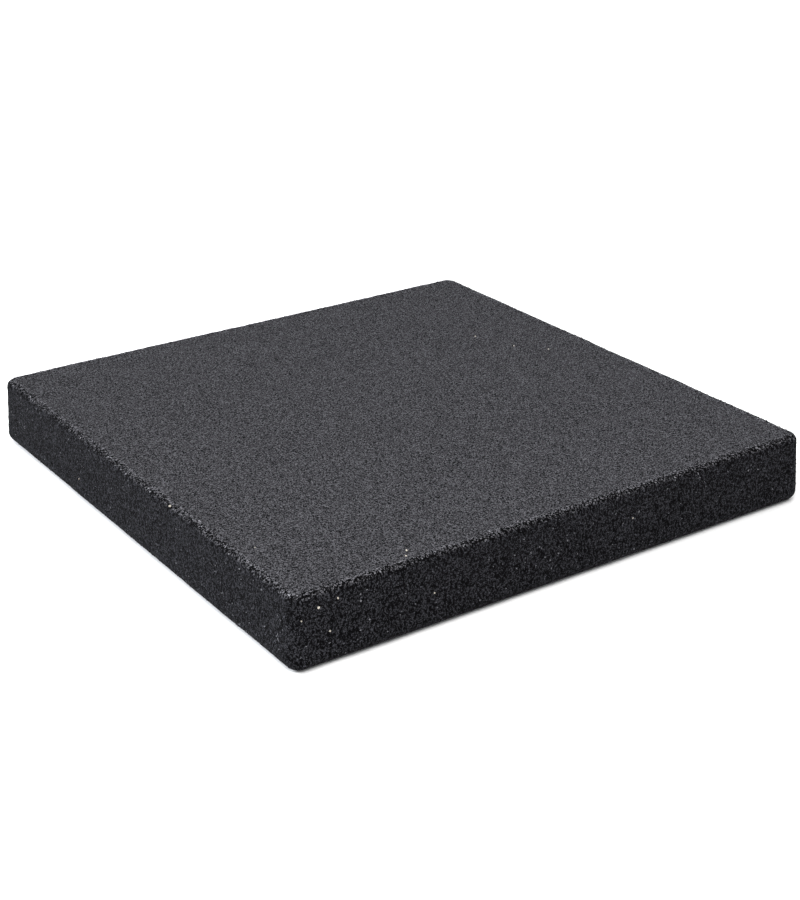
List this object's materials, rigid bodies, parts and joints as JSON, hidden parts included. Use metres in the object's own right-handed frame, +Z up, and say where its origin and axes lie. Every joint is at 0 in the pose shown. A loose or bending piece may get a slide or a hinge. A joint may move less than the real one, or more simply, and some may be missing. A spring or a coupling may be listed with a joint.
{
  "type": "rubber floor tile",
  "caption": "Square slab of black crumb rubber with rounded corners and edges and a flat underside, laid loose or glued as impact flooring under gym weights.",
  "frame": {"origin": "centre of the underside, on the floor", "axes": "+Z up out of the tread face; +X and +Y along the sides"},
  "size_m": [0.5, 0.5, 0.06],
  "materials": {
    "crumb_rubber": "matt, pressed from black crumb with a few pale grains"
  },
  "bodies": {
    "root": {"rubber_slab": "crumb_rubber"}
  },
  "joints": []
}
